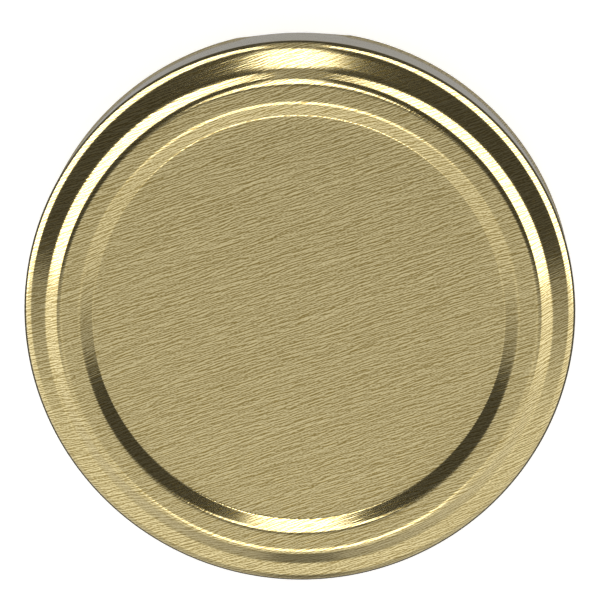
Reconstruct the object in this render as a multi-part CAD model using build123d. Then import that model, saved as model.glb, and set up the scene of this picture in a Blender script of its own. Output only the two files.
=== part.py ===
from build123d import *
import math
import os

# Twist-off lid for a 48 mm jar neck: one stamped tinplate shell, and the sealing ring cast inside it.
# The lid lies rim down. The origin is on its axis in the plane of the rim, +Z up through the panel.
# All sizes are in millimetres and degrees. Radii and widths of the top are those of the outer skin.

# Sheet and overall size
sheet = 0.17
lid_height = 10.2
skirt_radius = 25.6

# Top, from the skirt inwards: ledge, step up to the raised ring, the ring itself, slope down to the panel
shoulder_bend = 1.4
ledge_width = 2.33
ledge_slope = 23.0
step_drop = 1.0
step_slope = 43.0
step_foot_bend = 1.9
step_crown_bend = 1.2
ring_width = 1.97
panel_depth = 0.6
panel_slope = 26.0
panel_crown_bend = 1.15
panel_foot_bend = 0.5

# Rolled rim: the skirt flares out into a bead and rolls inwards into a hollow curl
curl_diameter = 1.55
curl_overhang = 0.15
curl_turn = 275.0
flare_bend = 0.9
rim_strip = 1.35

# Lugs: the curl pressed flat and pushed inwards, to catch the threads of the jar
lug_count = 4
lug_length = 10.5
lug_reach = 2.8
lug_dent = 0.15
lug_lift = 0.3
lug_rise = 0.2
lug_depth = 0.85
lug_return = 0.3
lug_heel_bend = 0.7
lug_tip_bend = 0.28
lug_end_power = 2

# Sealing ring, cast into the channel under the raised ring and the ledge
seal_thickness = 0.95
seal_edge_thickness = 0.16
seal_panel_lap = 0.7
seal_side_slope = 48.0
seal_skirt_gap = 1.3
seal_bend = 0.3

# How finely a rim section is drawn, and where sections stand along half a lug, as shares of it
rim_points = 15
lug_stations = (0.0, 0.45, 0.75, 0.9, 1.0)

# How closely edges that meet must agree for the pieces of the sheet to be joined
join_tolerance = 0.001


def slope_run(drop, slope):
    """Distance outwards over which a straight slope falls by drop."""
    return drop / math.tan(math.radians(slope))


# Corners of the outer skin, worked out from the skirt inwards
step_foot_radius = skirt_radius - ledge_width
ring_radius = step_foot_radius - slope_run(step_drop, step_slope)
panel_crown_radius = ring_radius - ring_width
panel_radius = panel_crown_radius - slope_run(panel_depth, panel_slope)
panel_height = lid_height - panel_depth
ledge_height = lid_height - step_drop
rim_height = curl_diameter + rim_strip
skirt_middle = skirt_radius - sheet / 2
bead_radius = skirt_radius + curl_overhang


def ledge_skin(radius):
    """Height of the ledge's outer skin, carried on as a straight slope."""
    return ledge_height - (radius - step_foot_radius) * math.tan(math.radians(ledge_slope))


def outer_skin():
    """Outer skin from the axis out over the top and down to the rim strip, as one line."""
    corners = [
        (0, panel_height),
        (panel_radius, panel_height),
        (panel_crown_radius, lid_height),
        (ring_radius, lid_height),
        (step_foot_radius, ledge_height),
        (skirt_radius, ledge_skin(skirt_radius)),
        (skirt_radius, rim_height),
    ]
    bends = [panel_foot_bend, panel_crown_bend, step_crown_bend, step_foot_bend, shoulder_bend]
    return FilletPolyline(*corners, radius=bends)


def top_section():
    """The skin given the sheet's thickness."""
    return make_face(offset(outer_skin(), amount=sheet, side=Side.RIGHT))


def seal_section():
    """The ring fills the space between its lower face and the underside of the sheet."""
    skin = outer_skin()
    floor_corner = (0, rim_height)
    under_skin = make_face([*skin.edges(), Line(skin @ 1, floor_corner), Line(floor_corner, skin @ 0)])
    face_height = lid_height - sheet - seal_thickness
    inner_radius = panel_radius + seal_panel_lap
    outer_radius = skirt_radius - seal_skirt_gap
    ledge_sheet = sheet / math.cos(math.radians(ledge_slope))
    edge_height = ledge_skin(outer_radius) - ledge_sheet - seal_edge_thickness
    lower_face = [
        (inner_radius - slope_run(lid_height - face_height, seal_side_slope), lid_height),
        (inner_radius, face_height),
        (ring_radius, face_height),
        (outer_radius, edge_height),
        (outer_radius, lid_height),
    ]
    poured = make_face(
        [
            *FilletPolyline(*lower_face, radius=[seal_bend, seal_bend, 0]).edges(),
            Line(lower_face[-1], lower_face[0]),
        ]
    )
    return (poured & under_skin) - top_section()


# Rim and lugs: the strip of sheet below the plain skirt, drawn by the line in the middle of the sheet
def curl_line():
    """Middle of the sheet where the rim is round: down the skirt, out into the bead, in and up again."""
    curl_radius = (curl_diameter - sheet) / 2
    curl_centre = Vector(bead_radius - curl_diameter / 2, curl_diameter / 2)
    flare_centre_radius = skirt_middle + flare_bend
    centres_across = flare_centre_radius - curl_centre.X
    centres_up = math.sqrt((flare_bend + curl_radius) ** 2 - centres_across**2)
    flare_centre = Vector(flare_centre_radius, curl_centre.Y + centres_up)
    flare_turn = math.degrees(math.atan2(centres_up, centres_across))
    skirt = Line((skirt_middle, rim_height), (skirt_middle, flare_centre.Y))
    flare = CenterArc(flare_centre, flare_bend, 180, flare_turn)
    curl = CenterArc(curl_centre, curl_radius, flare_turn, -flare_turn - curl_turn)
    return Wire([skirt, flare, curl])


def lug_line():
    """Middle of the sheet at the middle of a lug: down the skirt, in along its underside, folded back."""
    heel_radius = bead_radius - lug_dent - sheet / 2
    tip_radius = skirt_radius - lug_reach + sheet / 2
    underside = lug_lift + sheet / 2
    upper_side = lug_lift + lug_rise + lug_depth - sheet / 2
    corners = [
        (skirt_middle, rim_height),
        (heel_radius, underside),
        (tip_radius, underside + lug_rise),
        (tip_radius, upper_side),
        (tip_radius + lug_tip_bend + lug_return, upper_side),
    ]
    bends = [lug_heel_bend, lug_tip_bend, lug_tip_bend]
    return Wire(FilletPolyline(*corners, radius=bends).edges())


def rim_section(press):
    """Section of the rim: the round curl at press 0, a finished lug at press 1, between them as it forms."""
    curl = curl_line()
    lug = lug_line()
    fractions = [i / (rim_points - 1) for i in range(rim_points)]
    ways = [Vector(0, -1), (curl % 1) * (1 - press) + (lug % 1) * press]
    middle = Spline([(curl @ f) * (1 - press) + (lug @ f) * press for f in fractions], tangents=ways)
    outside = []
    inside = []
    for f in fractions:
        across = (middle % f).rotate(Axis.Z, 90) * (sheet / 2)
        outside.append(middle @ f + across)
        inside.append(middle @ f - across)
    skins = [Spline(outside, tangents=ways), Spline(inside, tangents=ways)]
    ends = [Line(outside[0], inside[0]), Line(outside[-1], inside[-1])]
    return Plane.XZ * make_face(skins + ends)


def lug(angle, half_angle):
    """One lug, lofted through sections of the rim that stand side by side round the lid's axis."""
    shares = [-share for share in lug_stations[:0:-1]] + list(lug_stations)
    sections = []
    for share in shares:
        section = rim_section(1 - abs(share) ** lug_end_power)
        sections.append(section.rotate(Axis.Z, angle + share * half_angle))
    return loft(sections)


def plain_rim(angle, half_angle, pitch):
    """The round curl from the end of one lug to the start of the next."""
    start = rim_section(0).rotate(Axis.Z, angle + half_angle)
    return revolve(start, Axis.Z, pitch - 2 * half_angle)


def cap_shell():
    """Panel, ledge and skirt turned from one section, with the rim and its lugs, all one sheet."""
    pitch = 360 / lug_count
    half_angle = math.degrees(lug_length / 2 / skirt_radius)
    angles = [pitch * i for i in range(lug_count)]
    rims = [plain_rim(angle, half_angle, pitch) for angle in angles]
    lugs = [lug(angle, half_angle) for angle in angles]
    top = revolve(Plane.XZ * top_section(), Axis.Z)
    return top.fuse(*rims, *lugs, tol=join_tolerance)


def sealing_ring():
    """Ring of sealing compound, turned from its section."""
    return revolve(Plane.XZ * seal_section(), Axis.Z)


os.makedirs("parts", exist_ok=True)
export_step(cap_shell(), "parts/cap_shell.step")
export_step(sealing_ring(), "parts/sealing_ring.step")
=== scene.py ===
import bpy
import numpy as np
from mathutils import Matrix, Vector


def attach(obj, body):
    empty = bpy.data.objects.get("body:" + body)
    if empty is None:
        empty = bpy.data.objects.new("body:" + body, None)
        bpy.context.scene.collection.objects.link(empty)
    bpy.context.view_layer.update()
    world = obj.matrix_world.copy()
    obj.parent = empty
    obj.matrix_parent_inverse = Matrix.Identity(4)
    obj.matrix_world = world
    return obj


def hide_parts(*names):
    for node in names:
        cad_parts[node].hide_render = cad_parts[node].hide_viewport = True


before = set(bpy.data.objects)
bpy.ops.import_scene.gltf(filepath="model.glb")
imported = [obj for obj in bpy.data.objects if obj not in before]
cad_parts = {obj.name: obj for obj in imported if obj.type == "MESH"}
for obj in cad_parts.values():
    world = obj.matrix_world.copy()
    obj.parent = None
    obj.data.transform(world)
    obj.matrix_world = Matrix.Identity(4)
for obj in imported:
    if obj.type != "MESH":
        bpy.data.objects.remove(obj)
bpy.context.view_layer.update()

# A twist-off lid in gold-lacquered tinplate, brushed one way before it was stamped, with a sealing ring cast inside.
# Lengths are in millimetres and angles in degrees until a mesh or a node is made. The lid lies rim down on the floor,
# its axis on Z, and a lug stands at azimuth 0.

MM = 0.001

# Sheet and overall size
SHEET = 0.17
LID_HEIGHT = 10.2
SKIRT_RADIUS = 25.6

# Top, from the skirt inwards: ledge, step, raised ring, slope, sunk panel
SHOULDER_BEND = 1.4
LEDGE_WIDTH = 2.33
LEDGE_SLOPE = 23.0
STEP_DROP = 1.0
STEP_SLOPE = 43.0
STEP_FOOT_BEND = 1.9
STEP_CROWN_BEND = 1.2
RING_WIDTH = 1.97
PANEL_DEPTH = 0.6
PANEL_SLOPE = 26.0
PANEL_CROWN_BEND = 1.15
PANEL_FOOT_BEND = 0.5

# Rolled rim
CURL_DIAMETER = 1.55
CURL_OVERHANG = 0.15
CURL_TURN = 275.0
FLARE_BEND = 0.9
RIM_STRIP = 1.35

# Lugs
LUG_COUNT = 4
LUG_LENGTH = 10.5
LUG_REACH = 2.8
LUG_DENT = 0.15
LUG_LIFT = 0.3
LUG_RISE = 0.2
LUG_DEPTH = 0.85
LUG_RETURN = 0.3
LUG_HEEL_BEND = 0.7
LUG_TIP_BEND = 0.28
LUG_END_POWER = 2

# Sealing ring
SEAL_THICKNESS = 0.95
SEAL_EDGE_THICKNESS = 0.16
SEAL_PANEL_LAP = 0.7
SEAL_SIDE_SLOPE = 48.0
SEAL_SKIRT_GAP = 1.3
SEAL_BEND = 0.3

# How finely the meshes are drawn
COLUMNS = 360
BEND_STEP = 4.5
RIM_ROWS = 76

# Brushing, and the camera: where the lens stands, seen from the point of the axis that it is measured from
BRUSH_ANGLE = 17.6
AIM_HEIGHT = 7.29
CAMERA_DISTANCE = 255.0
CAMERA_TILT = 12.2
CAMERA_AZIMUTH = 81.6
UP_AZIMUTH = 88.6
AIM_RIGHT = 0.075
AIM_UP = 1.394
FIELD_WIDTH = 55.75
SENSOR = 36.0


def tan(angle):
    return float(np.tan(np.radians(angle)))


STEP_FOOT_RADIUS = SKIRT_RADIUS - LEDGE_WIDTH
RING_RADIUS = STEP_FOOT_RADIUS - STEP_DROP / tan(STEP_SLOPE)
PANEL_CROWN_RADIUS = RING_RADIUS - RING_WIDTH
PANEL_RADIUS = PANEL_CROWN_RADIUS - PANEL_DEPTH / tan(PANEL_SLOPE)
LEDGE_HEIGHT = LID_HEIGHT - STEP_DROP
RIM_HEIGHT = CURL_DIAMETER + RIM_STRIP
SKIRT_MIDDLE = SKIRT_RADIUS - SHEET / 2
BEAD_RADIUS = SKIRT_RADIUS + CURL_OVERHANG


def ledge_skin(radius):
    """Height of the ledge's outer skin, a straight slope."""
    return LEDGE_HEIGHT - (radius - STEP_FOOT_RADIUS) * tan(LEDGE_SLOPE)


# Lines in the plane of a section: arrays of (radius, height) with the unit way at each point


def arc(centre, radius, start, turn, step=BEND_STEP):
    """Points centre + radius * (cos a, sin a) for angles a from start through turn, and their ways."""
    count = max(2, int(np.ceil(abs(turn) / step)) + 1)
    a = np.radians(np.linspace(start, start + turn, count))
    spokes = np.stack([np.cos(a), np.sin(a)], axis=1)
    ways = np.stack([-np.sin(a), np.cos(a)], axis=1) * np.sign(turn)
    return np.asarray(centre) + radius * spokes, ways


def run(start, end, shares=(0.06, 0.94)):
    """Points on a straight run, near its two ends so that the shading of the bends stops there, and their way."""
    start, end = np.asarray(start, float), np.asarray(end, float)
    way = (end - start) / np.linalg.norm(end - start)
    points = start + np.asarray(shares)[:, None] * (end - start)
    return points, np.repeat(way[None], len(points), axis=0)


def bent_line(corners, bends, shares=(0.06, 0.94)):
    """A line through corners, where each inner corner is an arc of its bend, tangent to both runs."""
    corners = np.asarray(corners, float)
    ways = np.diff(corners, axis=0)
    ways /= np.linalg.norm(ways, axis=1)[:, None]
    pieces = [(corners[:1], ways[:1])]
    last = corners[0]
    for corner, bend, before, after in zip(corners[1:-1], bends, ways[:-1], ways[1:]):
        turn = np.degrees(np.arctan2(before[0] * after[1] - before[1] * after[0], before @ after))
        reach = bend * abs(tan(turn / 2))
        side = np.sign(turn)
        start = corner - reach * before
        centre = start + side * bend * np.array([-before[1], before[0]])
        first_angle = np.degrees(np.arctan2(*(start - centre)[::-1]))
        pieces += [run(last, start, shares), arc(centre, bend, first_angle, turn)]
        last = corner + reach * after
    pieces += [run(last, corners[-1], shares), (corners[-1:], ways[-1:])]
    return [np.concatenate(parts) for parts in zip(*pieces)]


def outward(ways):
    """The outer side of a line, a quarter turn to the left of its ways."""
    return np.stack([-ways[..., 1], ways[..., 0]], axis=-1)


def even_samples(points, count):
    """Points at even steps of length along a line."""
    lengths = np.concatenate([[0], np.cumsum(np.linalg.norm(np.diff(points, axis=0), axis=1))])
    steps = np.linspace(0, lengths[-1], count)
    return np.stack([np.interp(steps, lengths, points[:, k]) for k in (0, 1)], axis=1)


def top_line():
    """Outer skin from the axis over the panel, ring, step, ledge and shoulder down the skirt to the rim."""
    corners = [
        (0, LID_HEIGHT - PANEL_DEPTH),
        (PANEL_RADIUS, LID_HEIGHT - PANEL_DEPTH),
        (PANEL_CROWN_RADIUS, LID_HEIGHT),
        (RING_RADIUS, LID_HEIGHT),
        (STEP_FOOT_RADIUS, LEDGE_HEIGHT),
        (SKIRT_RADIUS, ledge_skin(SKIRT_RADIUS)),
        (SKIRT_RADIUS, RIM_HEIGHT),
    ]
    bends = [PANEL_FOOT_BEND, PANEL_CROWN_BEND, STEP_CROWN_BEND, STEP_FOOT_BEND, SHOULDER_BEND]
    return bent_line(corners, bends)


def curl_line():
    """Middle of the sheet of the round rim: down the skirt, out into the bead, then in and up inside it."""
    curl_radius = (CURL_DIAMETER - SHEET) / 2
    curl_centre = np.array([BEAD_RADIUS - CURL_DIAMETER / 2, CURL_DIAMETER / 2])
    across = SKIRT_MIDDLE + FLARE_BEND - curl_centre[0]
    up = np.sqrt((FLARE_BEND + curl_radius) ** 2 - across**2)
    flare_centre = curl_centre + (across, up)
    flare_turn = np.degrees(np.arctan2(up, across))
    skirt = np.array([(SKIRT_MIDDLE, RIM_HEIGHT), (SKIRT_MIDDLE, flare_centre[1])])
    flare, _ = arc(flare_centre, FLARE_BEND, 180, flare_turn, 2)
    curl, _ = arc(curl_centre, curl_radius, flare_turn, -flare_turn - CURL_TURN, 2)
    return np.concatenate([skirt, flare[1:], curl[1:]])


def lug_line():
    """Middle of the sheet at the middle of a lug: down the skirt, in along its underside, folded back."""
    tip = SKIRT_RADIUS - LUG_REACH + SHEET / 2
    underside = LUG_LIFT + SHEET / 2
    upper_side = LUG_LIFT + LUG_RISE + LUG_DEPTH - SHEET / 2
    corners = [
        (SKIRT_MIDDLE, RIM_HEIGHT),
        (BEAD_RADIUS - LUG_DENT - SHEET / 2, underside),
        (tip, underside + LUG_RISE),
        (tip, upper_side),
        (tip + LUG_TIP_BEND + LUG_RETURN, upper_side),
    ]
    return bent_line(corners, [LUG_HEEL_BEND, LUG_TIP_BEND, LUG_TIP_BEND])[0]


def lug_press(azimuth):
    """How far the rim is pressed into a lug: 1 at a lug's middle, 1 - |share|^power towards its ends, 0 beyond."""
    pitch = 360 / LUG_COUNT
    half = np.degrees(LUG_LENGTH / 2 / SKIRT_RADIUS)
    share = np.abs((azimuth + pitch / 2) % pitch - pitch / 2) / half
    return 1 - np.clip(share, 0, 1) ** LUG_END_POWER


# Meshes


def turned(profile, azimuth):
    """Carries a section round the axis: (radius, height) at each azimuth becomes (r cos a, r sin a, z)."""
    a = np.radians(azimuth)
    return np.stack([profile[..., 0] * np.cos(a), profile[..., 0] * np.sin(a), profile[..., 1]], axis=-1)


def band_faces(rows, columns, closed):
    """Quads between neighbouring rows and columns, the columns joined round, and the rows too if closed."""
    i = np.arange(rows if closed else rows - 1)[:, None]
    j = np.arange(columns)[None]
    below, beside = (i + 1) % rows, (j + 1) % columns
    return np.stack([i * columns + j, below * columns + j, below * columns + beside, i * columns + beside], axis=-1).reshape(-1, 4)


def fan_faces(pole, first, columns, upper):
    """Triangles from a pole on the axis to the row of points that starts at first."""
    j = np.arange(columns)
    beside = (j + 1) % columns
    corners = [j + first, beside + first] if upper else [beside + first, j + first]
    return np.stack([np.full(columns, pole), *corners], axis=-1)


def make_piece(name, points, faces, materials, face_material=None, blank=None):
    """A smooth mesh from points in millimetres, with the flat blank's coordinates of each point as an attribute."""
    mesh = bpy.data.meshes.new(name)
    mesh.from_pydata(points * MM, [], [f for part in faces for f in part.tolist()])
    mesh.polygons.foreach_set("use_smooth", np.ones(len(mesh.polygons), bool))
    for material in materials:
        mesh.materials.append(material)
    if face_material is not None:
        mesh.polygons.foreach_set("material_index", face_material.astype(np.int32))
    if blank is not None:
        attribute = mesh.attributes.new("blank", "FLOAT_VECTOR", "POINT")
        attribute.data.foreach_set("vector", blank.astype(np.float32).ravel())
    mesh.validate()
    mesh.update()
    piece = bpy.data.objects.new(name, mesh)
    bpy.context.scene.collection.objects.link(piece)
    return piece


# Shaders


class Value:
    """A socket's value that takes part in sums and products; each operation adds one Math node."""

    def __init__(self, bench, socket):
        self.bench, self.socket = bench, socket

    def math(self, operation, *others, first=False):
        values = [*others, self] if first else [self, *others]
        return self.bench.node("ShaderNodeMath", {"operation": operation}, dict(enumerate(values)))

    def __add__(self, other):
        return self.math("ADD", other)

    def __sub__(self, other):
        return self.math("SUBTRACT", other)

    def __rsub__(self, other):
        return self.math("SUBTRACT", other, first=True)

    def __mul__(self, other):
        return self.math("MULTIPLY", other)

    def __truediv__(self, other):
        return self.math("DIVIDE", other)

    def __rtruediv__(self, other):
        return self.math("DIVIDE", other, first=True)

    __radd__, __rmul__ = __add__, __mul__


class Bench:
    """The node tree of one material or of the world."""

    def __init__(self, owner):
        owner.use_nodes = True
        self.tree = owner.node_tree
        self.tree.nodes.clear()

    def node(self, kind, settings=None, sockets=None, output=0):
        """A node of a kind with its settings, then its sockets by name or number; gives one of its outputs."""
        made = self.tree.nodes.new(kind)
        for name, value in (settings or {}).items():
            if name == "stops":
                self.set_stops(made.color_ramp, value)
            else:
                setattr(made, name, value)
        for name, value in (sockets or {}).items():
            if isinstance(value, Value):
                self.tree.links.new(value.socket, made.inputs[name])
            else:
                made.inputs[name].default_value = value
        return Value(self, made.outputs[output]) if len(made.outputs) else made

    @staticmethod
    def set_stops(ramp, stops):
        while len(ramp.elements) < len(stops):
            ramp.elements.new(0.5)
        for element, (place, colour) in zip(ramp.elements, stops):
            element.position, element.color = place, (*colour, 1)

    def step(self, value, low, high):
        """0 below low, 1 above high and smooth between them; turned round where low is above high."""
        sockets = {"Value": value, "From Min": low, "From Max": high}
        return self.node("ShaderNodeMapRange", {"interpolation_type": "SMOOTHSTEP"}, sockets)

    def mix(self, share, first, second):
        """A colour between two, or one worked out at another share."""
        colours = [(*c, 1) if isinstance(c, tuple) else c for c in (first, second)]
        return self.node("ShaderNodeMix", {"data_type": "RGBA"}, {0: share, 6: colours[0], 7: colours[1]}, output=2)


def drawn_out(bench, place, turn, cycles):
    """Coordinates drawn out along the brushing: cycles per millimetre along it, across it and upwards."""
    return bench.node(
        "ShaderNodeMapping",
        {"vector_type": "TEXTURE"},
        {"Vector": place, "Rotation": (0, 0, np.radians(turn)), "Scale": tuple(MM / c for c in cycles)},
    )


def noise(bench, place, turn, cycles, detail, low=0.0, high=1.0):
    """Smooth noise, drawn out along the brushing."""
    sockets = {"Vector": drawn_out(bench, place, turn, cycles), "Scale": 1.0, "Detail": detail, "Roughness": 0.6}
    grain = bench.node("ShaderNodeTexNoise", None, sockets)
    return bench.node("ShaderNodeMapRange", None, {"Value": grain, "From Min": low, "From Max": high})


def hairlines(bench, place, turn, pitch, length):
    """Lines side by side at a pitch, sin(2 pi (across / pitch + wander)) times a strength that changes sign, so that
    each line lasts about a length along the brushing."""
    lanes = drawn_out(bench, place, turn, (1, 1 / pitch, 1))
    across = bench.node("ShaderNodeSeparateXYZ", None, {"Vector": lanes}, output=1)
    wander = noise(bench, place, turn, (0.25 / length, 0.2 / pitch, 1), 0)
    strength = noise(bench, place, turn, (1 / length, 0.7 / pitch, 1), 0, 0.3, 0.7) * 2 - 1
    return ((across + wander * 1.5) * float(2 * np.pi)).math("SINE") * strength


def brushed_gold(name, light, dark, groove_depth, roughness):
    """Gold lacquer on tinplate brushed one way: fine grooves, streaks of grain with a painted sheen, clear coat."""
    material = bpy.data.materials.new(name)
    bench = Bench(material)
    blank = bench.node("ShaderNodeAttribute", {"attribute_name": "blank"}, output=1)
    long_lines = hairlines(bench, blank, BRUSH_ANGLE, 0.24, 1.9)
    short_lines = hairlines(bench, blank, BRUSH_ANGLE, 0.19, 0.8)
    grain = noise(bench, blank, BRUSH_ANGLE, (4.5, 8.0, 1), 0, 0.3, 0.7)
    broad = noise(bench, blank, BRUSH_ANGLE, (0.06, 0.7, 1), 1, 0.3, 0.7)
    # Bright and dull streaks: the brushing's grain, with the sheen that its grooves catch painted into the colour.
    grain_and_sheen = 0.2 + long_lines * 1.0 + short_lines * 0.85 + grain * 0.5 + broad * 0.12
    height = long_lines * 0.3 + short_lines * 0.15
    normal = bench.node("ShaderNodeBump", None, {"Height": height, "Distance": groove_depth * MM, "Strength": 1.0})
    shader = bench.node(
        "ShaderNodeBsdfPrincipled",
        None,
        {
            "Base Color": bench.mix(grain_and_sheen, dark, light),
            "Metallic": 1.0,
            "Roughness": roughness - grain_and_sheen * 0.06,
            "Normal": normal,
            "Coat Weight": 0.5,
            "Coat Roughness": 0.04,
            "Coat IOR": 1.5,
        },
    )
    bench.node("ShaderNodeOutputMaterial", None, {"Surface": shader})
    return material


def plastisol(name):
    """Smooth off-white sealing compound with a faint orange-peel surface."""
    material = bpy.data.materials.new(name)
    bench = Bench(material)
    place = bench.node("ShaderNodeTexCoord", output=3)
    peel = noise(bench, place, 0, (1.2, 1.2, 1.2), 2)
    cloud = noise(bench, place, 0, (0.12, 0.12, 0.12), 3)
    shader = bench.node(
        "ShaderNodeBsdfPrincipled",
        None,
        {
            "Base Color": bench.mix(cloud, (0.74, 0.72, 0.66), (0.8, 0.79, 0.74)),
            "Roughness": 0.5 + peel * 0.1,
            "Normal": bench.node("ShaderNodeBump", None, {"Height": peel, "Distance": 0.012 * MM, "Strength": 1.0}),
        },
    )
    bench.node("ShaderNodeOutputMaterial", None, {"Surface": shader})
    return material


# The lid

GOLD = brushed_gold("brushed gold lacquer", (1.0, 0.85, 0.45), (0.4, 0.29, 0.08), 0.005, 0.17)
INSIDE_GOLD = brushed_gold("gold lacquer inside", (0.86, 0.72, 0.4), (0.64, 0.52, 0.26), 0.003, 0.26)
COMPOUND = plastisol("sealing compound")


def make_shell():
    """Outer skin, rim and inner skin as one closed surface: each row of a section carried round the axis."""
    azimuth = np.arange(COLUMNS) * 360 / COLUMNS
    top, ways = top_line()
    keep = top[:, 0] > 0
    top, ways = top[keep], ways[keep]
    under = top - SHEET * outward(ways)
    press = lug_press(azimuth)[None, :, None]
    curl, lug = even_samples(curl_line(), RIM_ROWS), even_samples(lug_line(), RIM_ROWS)
    middle = curl[:, None] * (1 - press) + lug[:, None] * press
    rim_ways = np.gradient(middle, axis=0)
    rim_ways /= np.linalg.norm(rim_ways, axis=-1)[..., None]
    side = outward(rim_ways) * SHEET / 2
    all_round = np.ones((1, COLUMNS, 1))
    rows = np.concatenate(
        [
            top[:-1, None] * all_round,
            middle + side,
            (middle - side)[::-1],
            under[-2::-1, None] * all_round,
        ]
    )
    grid = turned(rows, azimuth)
    count = len(rows)
    poles = [[0, 0, LID_HEIGHT - PANEL_DEPTH], [0, 0, LID_HEIGHT - PANEL_DEPTH - SHEET]]
    points = np.concatenate([grid.reshape(-1, 3), poles])
    upper_pole = count * COLUMNS
    faces = [
        band_faces(count, COLUMNS, closed=False),
        fan_faces(upper_pole, 0, COLUMNS, upper=True),
        fan_faces(upper_pole + 1, (count - 1) * COLUMNS, COLUMNS, upper=False),
    ]
    outside_rows = len(top) - 1 + RIM_ROWS
    inside = np.concatenate(
        [
            np.repeat(np.arange(count - 1) >= outside_rows, COLUMNS),
            np.zeros(COLUMNS, bool),
            np.ones(COLUMNS, bool),
        ]
    )
    skin = np.concatenate([top[:-1], curl])
    steps = np.linalg.norm(np.diff(skin, axis=0), axis=1)
    reach = skin[0, 0] + np.concatenate([[0], np.cumsum(steps)])
    reach = np.concatenate([reach, reach[::-1]])
    flat = np.stack([reach, np.zeros_like(reach)], axis=1)[:, None] * all_round
    blank = np.concatenate([turned(flat, azimuth).reshape(-1, 3), np.zeros((2, 3))]) * MM
    return make_piece("lid_shell", points, faces, [GOLD, INSIDE_GOLD], inside, blank)


def make_seal():
    """Sealing ring: its lower face, its slanted inner side and the underside of the sheet, carried round."""
    azimuth = np.arange(COLUMNS) * 360 / COLUMNS
    top, ways = top_line()
    under = top - SHEET * outward(ways)
    face_height = LID_HEIGHT - SHEET - SEAL_THICKNESS
    inner_radius = PANEL_RADIUS + SEAL_PANEL_LAP
    outer_radius = SKIRT_RADIUS - SEAL_SKIRT_GAP
    ledge_sheet = SHEET / np.cos(np.radians(LEDGE_SLOPE))
    edge_height = ledge_skin(outer_radius) - ledge_sheet - SEAL_EDGE_THICKNESS
    lower_face, _ = bent_line(
        [
            (outer_radius, edge_height),
            (RING_RADIUS, face_height),
            (inner_radius, face_height),
            (inner_radius - (LID_HEIGHT - face_height) / tan(SEAL_SIDE_SLOPE), LID_HEIGHT),
        ],
        [SEAL_BEND, SEAL_BEND],
        (0.1, 0.5, 0.9),
    )
    sheet_above = np.interp(lower_face[:, 0], under[:, 0], under[:, 1])
    lower_face = lower_face[lower_face[:, 1] < sheet_above]
    side_way = np.array([-1, tan(SEAL_SIDE_SLOPE)])
    climb = np.linspace(0, 1, 200)[:, None] * side_way + lower_face[-1]
    gap = np.interp(climb[:, 0], under[:, 0], under[:, 1]) - climb[:, 1]
    meeting = climb[np.argmax(gap <= 0)]
    radii = np.concatenate([[meeting[0]], under[(under[:, 0] > meeting[0]) & (under[:, 0] < outer_radius), 0], [outer_radius]])
    upper_face = np.stack([radii, np.interp(radii, under[:, 0], under[:, 1])], axis=1)
    section = np.concatenate([upper_face, lower_face])
    grid = turned(section[:, None] * np.ones((1, COLUMNS, 1)), azimuth)
    faces = [band_faces(len(section), COLUMNS, closed=True)]
    return make_piece("seal", grid.reshape(-1, 3), faces, [COMPOUND])


shell = make_shell()
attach(shell, "root")
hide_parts("cap_shell")

seal = make_seal()
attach(seal, "root")
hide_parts("sealing_ring")


# Floor, light and camera


def ray_kinds(bench):
    """1 for a ray from the camera, and 1 for one from gloss or glass."""
    camera, glossy, glass = (bench.node("ShaderNodeLightPath", output=k) for k in (0, 3, 6))
    return camera, (glossy + glass).math("MINIMUM", 1.0)


def studio_light(bench, x, y, off_axis):
    """The studio's strength towards (x, y) on the compass at an angle off the lid's axis, all in the head of the lid.

    Behind the lid two tall soft boxes stand left and right of a narrow gap, under a dark ceiling with a window that
    narrows towards the gap. In front the room is even, dimmer round its middle and next to the ceiling, with a bright
    strip high up. Straight overhead it is dim.
    """
    side = x.math("ARCTAN2", y) * float(np.degrees(1)) - 1.4
    far = side.math("ABSOLUTE")
    off_middle = (180 - far).math("ABSOLUTE")
    behind = bench.step(far, 99, 90)

    box_top = 62 + bench.step(far, 50, 4) * 16
    box = bench.step(off_axis - box_top, 0, 7)
    gap = bench.step((side + 2.0).math("ABSOLUTE"), 10, 6)
    boxes = box * (1 - gap) * (0.35 + bench.step(far, 98, 86) * 0.65)
    gap_glow = gap * bench.step(off_axis, 54, 66) * 0.3

    reach = 6 + bench.step(off_axis, 45, 20) * 32
    window = bench.step((side + 3.5).math("ABSOLUTE") - reach, 7, -5) * bench.step(off_axis, 12, 22)
    window = window * bench.step(off_axis, 64, 50)

    strip = bench.step(off_axis, 22, 28) * bench.step(off_axis, 48, 42) * bench.step(off_middle, 31, 12)
    beside = bench.step(far, 130, 98)
    low = bench.step(off_axis, 57, 68)
    high = bench.step(off_axis, 20, 34) * (1 - low)
    column = bench.step(off_middle, 50, 0) * 0.45 + bench.step((off_middle - 1).math("ABSOLUTE"), 9, 3) * 0.25
    room = 0.22 + bench.step(off_axis, 1, 9) * 0.32 + bench.step(off_axis, 9, 32) * 0.2
    room = room * (1 - column * bench.step(off_axis, 66, 76) - beside * high * 0.5)
    front = room + beside * box * 0.35 + strip * 1.8 + bench.step((off_axis - 64).math("ABSOLUTE"), 5, 2) * 0.15

    back = 0.2 - bench.step(off_axis, 14, 30) * 0.13 + boxes * 3.0 + window * 3.0 + gap_glow
    return front * (1 - behind) + back * behind


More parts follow.
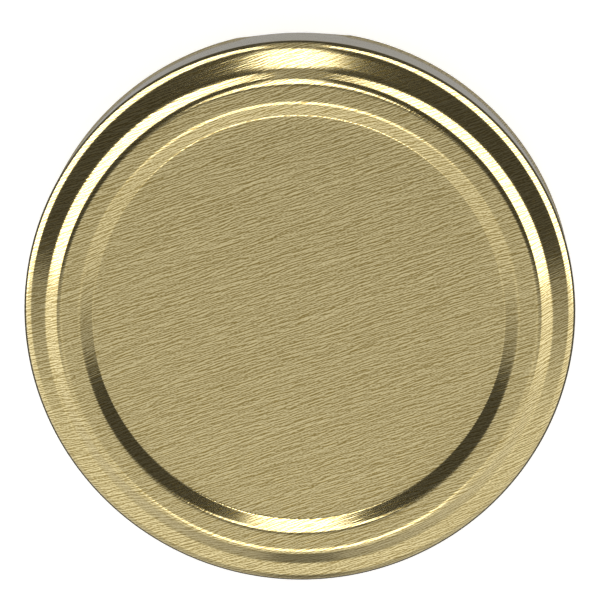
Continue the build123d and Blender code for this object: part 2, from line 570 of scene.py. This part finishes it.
def make_floor():
    """White floor, lit for its shadow and brought up to white where it is seen; gloss sees only a painted glow on it:
    the studio's light painted on by place as a painted reflection, a painted shadow ring round the lid and painted
    shade beside it."""
    material = bpy.data.materials.new("studio floor")
    bench = Bench(material)
    place = bench.node("ShaderNodeTexCoord", output=3)
    x, y = (bench.node("ShaderNodeSeparateXYZ", None, {"Vector": place}, output=k) for k in (0, 1))
    radius = (x * x + y * y).math("SQRT") * (1 / MM)
    # Painted reflection: each place on the floor takes the studio's light from a direction worked out from its
    # distance to the lid.
    off_axis = 90 - (8.5 / (radius - 23.0).math("MAXIMUM", 0.5)).math("ARCTANGENT") * float(np.degrees(1))
    # Painted shade seen in reflections: a dark ring 28 to 46 mm from the axis, and grey right beside the lid.
    ring = bench.step(radius, 28.0, 30.0) * bench.step(radius, 46.0, 37.0)
    painted_contact_shade = bench.step(radius, 30.0, 28.0)
    painted_studio_reflection = studio_light(bench, x, y, off_axis) * (1 - ring - painted_contact_shade) + ring * 0.08 + painted_contact_shade * 0.37
    camera, gloss = ray_kinds(bench)
    lit = bench.node("ShaderNodeBsdfDiffuse", None, {"Color": (0.8, 0.8, 0.8, 1)})
    glow = bench.node("ShaderNodeEmission", None, {"Strength": camera * 0.55})
    # A painted glow that gloss sees in place of the lit floor: painted reflection and painted shade.
    painted_reflection_glow = bench.node("ShaderNodeEmission", None, {"Strength": painted_studio_reflection})
    both = bench.node("ShaderNodeAddShader", None, {0: lit, 1: glow})
    surface = bench.node("ShaderNodeMixShader", None, {0: gloss, 1: both, 2: painted_reflection_glow})
    bench.node("ShaderNodeOutputMaterial", None, {"Surface": surface})
    half = 3000.0
    corners = np.array([(-half, -half, 0), (half, -half, 0), (half, half, 0), (-half, half, 0)])
    floor = make_piece("floor", corners, [np.array([[0, 1, 2, 3]])], [material])


def make_studio():
    """The world: the studio's light by direction, and plain white where the camera looks past the floor."""
    world = bpy.data.worlds.new("studio")
    bpy.context.scene.world = world
    bench = Bench(world)
    way = bench.node("ShaderNodeTexCoord", output=0)
    x, y, z = (bench.node("ShaderNodeSeparateXYZ", None, {"Vector": way}, output=k) for k in range(3))
    off_axis = z.math("ARCCOSINE") * float(np.degrees(1))
    strength = studio_light(bench, x, y, off_axis)
    camera, _ = ray_kinds(bench)
    shown = camera + strength * (1 - camera)
    background = bench.node("ShaderNodeBackground", None, {"Color": (1, 1, 1, 1), "Strength": shown})
    bench.node("ShaderNodeOutputWorld", None, {"Surface": background})


def make_camera():
    """The camera at its tilt and azimuth, aimed a little above and beside the lid's axis."""
    tilt, azimuth, up_azimuth = np.radians([CAMERA_TILT, CAMERA_AZIMUTH, UP_AZIMUTH])
    away = Vector((np.sin(tilt) * np.cos(azimuth), np.sin(tilt) * np.sin(azimuth), np.cos(tilt)))
    image_up = Vector((np.cos(up_azimuth), np.sin(up_azimuth), 0))

    def axes(back):
        up = (image_up - back * image_up.dot(back)).normalized()
        return up.cross(back), up, back

    right, up, _ = axes(away)
    origin = Vector((0, 0, AIM_HEIGHT))
    place = origin + away * CAMERA_DISTANCE
    aim = origin + right * AIM_RIGHT + up * AIM_UP
    turned_axes = axes((place - aim).normalized())
    camera = bpy.data.cameras.new("camera")
    camera.sensor_width = SENSOR
    camera.lens = SENSOR * CAMERA_DISTANCE / FIELD_WIDTH
    camera.clip_start = 0.01
    camera.clip_end = 20
    holder = bpy.data.objects.new("camera", camera)
    holder.matrix_world = Matrix.Translation(place * MM) @ Matrix(turned_axes).transposed().to_4x4()
    bpy.context.scene.collection.objects.link(holder)
    bpy.context.scene.camera = holder


make_floor()
make_studio()
make_camera()
bpy.context.scene.view_settings.view_transform = "Standard"
